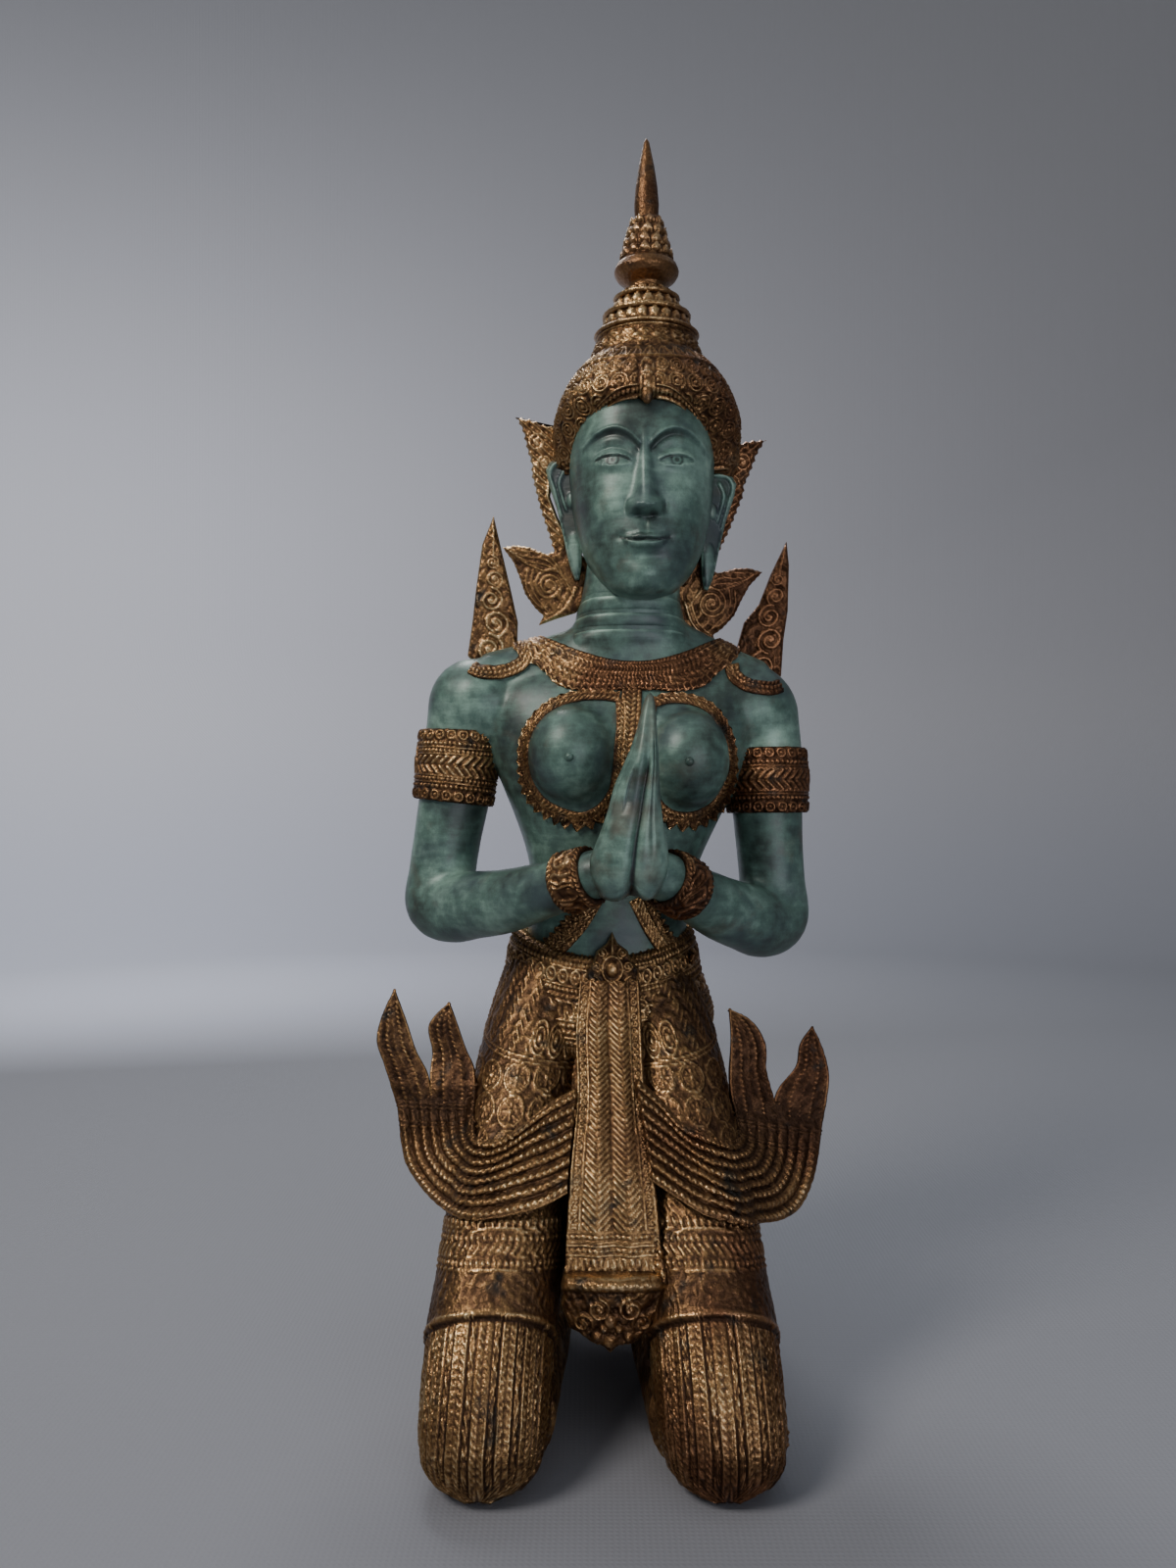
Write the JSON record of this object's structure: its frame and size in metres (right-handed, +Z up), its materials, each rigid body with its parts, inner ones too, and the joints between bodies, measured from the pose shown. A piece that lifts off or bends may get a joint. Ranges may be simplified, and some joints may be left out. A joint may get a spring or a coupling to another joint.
{
  "type": "temple guardian statue",
  "caption": "Kneeling cast-bronze temple guardian with palms pressed together, a tall tiered crown, winged shoulders and pleated flaring skirt cloths.",
  "frame": {"origin": "middle of the footprint's bounding box, on the floor that the knees and toes rest on", "axes": "+Z up, the figure faces -Y, +X to the right of someone facing it"},
  "size_m": [0.2444, 0.2505, 0.7],
  "materials": {
    "aged_gilding": "worn gilding on cast bronze, dark in the hollows",
    "green_patina": "waxed green patina on cast bronze"
  },
  "bodies": {
    "root": {"guardian_figure": "aged_gilding"}
  },
  "joints": []
}
